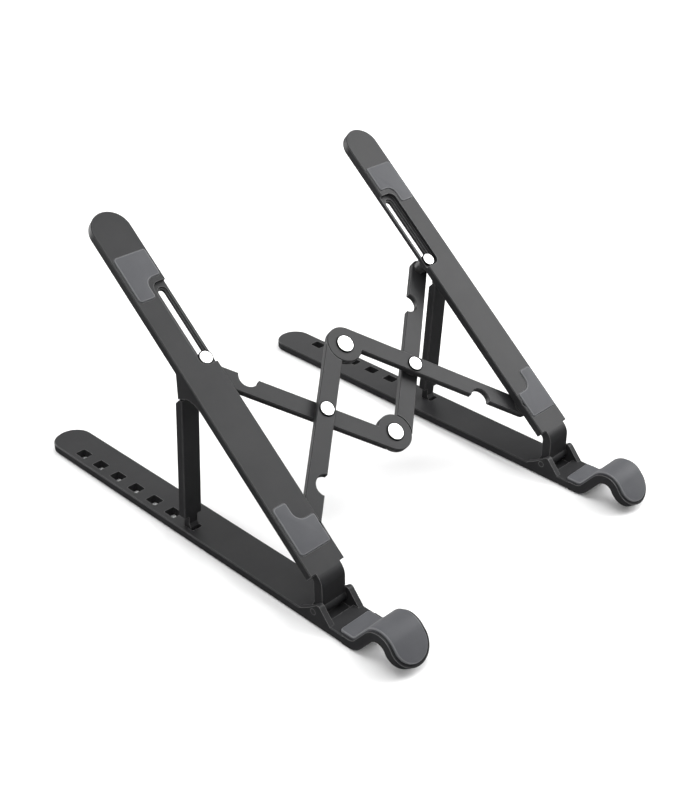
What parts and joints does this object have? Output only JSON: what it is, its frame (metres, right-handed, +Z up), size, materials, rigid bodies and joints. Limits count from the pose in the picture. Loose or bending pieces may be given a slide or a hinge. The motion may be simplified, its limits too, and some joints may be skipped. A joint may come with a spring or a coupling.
{
  "type": "laptop stand",
  "caption": "Foldable metal stand: two hooked rails with tilting arms and prop struts, joined by a scissor linkage so that it folds to a slim bar.",
  "frame": {"origin": "centre of the footprint on the table", "axes": "+X to the right of the user who faces the stand from its hooks, +Y away from the user, +Z up"},
  "size_m": [0.1812, 0.2566, 0.1468],
  "materials": {
    "anodised_metal": "matt, fine bead-blasted, dark grey",
    "silicone": "smooth matt silicone",
    "foot_rubber": "matt",
    "steel": "satin",
    "nylon": "matt"
  },
  "bodies": {
    "left_rail": {"left_base_rail": "anodised_metal", "left_hook_pad": "silicone", "left_front_foot": "foot_rubber", "left_rear_foot": "foot_rubber", "left_hinge_pin": "steel"},
    "left_arm": {"left_support_arm": "anodised_metal", "left_upper_pad": "silicone", "left_lower_pad": "silicone", "left_strut_pin": "steel", "left_pivot_rivet": "steel", "left_pivot_washer": "nylon"},
    "left_strut": {"left_strut": "anodised_metal"},
    "left_pivot_link": {"left_pivot_link": "anodised_metal", "left_cross_rivet": "steel", "left_cross_washer": "nylon"},
    "left_slide_link": {"left_slide_link": "anodised_metal", "left_slide_rivet": "steel", "left_slide_sleeve": "nylon", "front_ring_rivet": "steel"},
    "right_rail": {"right_base_rail": "anodised_metal", "right_hook_pad": "silicone", "right_front_foot": "foot_rubber", "right_rear_foot": "foot_rubber", "right_hinge_pin": "steel"},
    "right_arm": {"right_support_arm": "anodised_metal", "right_upper_pad": "silicone", "right_lower_pad": "silicone", "right_strut_pin": "steel", "right_pivot_rivet": "steel", "right_pivot_washer": "nylon"},
    "right_strut": {"right_strut": "anodised_metal"},
    "right_pivot_link": {"right_pivot_link": "anodised_metal", "right_cross_rivet": "steel", "right_cross_washer": "nylon", "rear_ring_rivet": "steel"},
    "right_slide_link": {"right_slide_link": "anodised_metal", "right_slide_rivet": "steel", "right_slide_sleeve": "nylon"}
  },
  "joints": [
    {"name": "arm_tilt", "type": "hinge", "parent": "left_rail", "child": "left_arm", "pos_m": [-0.0802, -0.0754, 0.0075], "axis": [1, 0, 0], "range_deg": [0, 60]},
    {"name": "left_strut_swing", "type": "hinge", "parent": "left_arm", "child": "left_strut", "pos_m": [-0.0802, 0.00715, 0.0829], "axis": [1, 0, 0], "range_deg": [-54, 0]},
    {"name": "spread_fold", "type": "hinge", "parent": "left_arm", "child": "left_pivot_link", "pos_m": [-0.074, -0.06124, 0.03671], "axis": [0, -0.6494, 0.7604], "range_deg": [0, 44.41]},
    {"name": "left_crossing", "type": "hinge", "parent": "left_pivot_link", "child": "left_slide_link", "pos_m": [-0.03026, -0.02729, 0.06571], "axis": [0, -0.6494, 0.7604], "range_deg": [-88.82, 0]},
    {"name": "rear_ring", "type": "hinge", "parent": "left_pivot_link", "child": "right_pivot_link", "pos_m": [0, -0.00896, 0.08137], "axis": [0, -0.6494, 0.7604], "range_deg": [-88.82, 0]},
    {"name": "right_crossing", "type": "hinge", "parent": "right_pivot_link", "child": "right_slide_link", "pos_m": [0.03026, -0.02729, 0.06571], "axis": [0, -0.6494, 0.7604], "range_deg": [0, 88.82]},
    {"name": "right_arm_pivot", "type": "hinge", "parent": "right_pivot_link", "child": "right_arm", "pos_m": [0.074, -0.06124, 0.03671], "axis": [0, -0.6494, 0.7604], "range_deg": [0, 44.41]},
    {"name": "right_strut_swing", "type": "hinge", "parent": "right_arm", "child": "right_strut", "pos_m": [0.0802, 0.00715, 0.0829], "axis": [1, 0, 0], "range_deg": [-54, 0]},
    {"name": "right_rail_tilt", "type": "hinge", "parent": "right_arm", "child": "right_rail", "pos_m": [0.0802, -0.0754, 0.0075], "axis": [1, 0, 0], "range_deg": [-60, 0]}
  ],
  "couplings": [
    {"joint": "left_strut_swing", "follows": "arm_tilt", "ratio": -0.9},
    {"joint": "right_strut_swing", "follows": "arm_tilt", "ratio": -0.9},
    {"joint": "right_rail_tilt", "follows": "arm_tilt", "ratio": -1},
    {"joint": "left_crossing", "follows": "spread_fold", "ratio": -2},
    {"joint": "rear_ring", "follows": "spread_fold", "ratio": -2},
    {"joint": "right_crossing", "follows": "spread_fold", "ratio": 2},
    {"joint": "right_arm_pivot", "follows": "spread_fold", "ratio": 1}
  ]
}
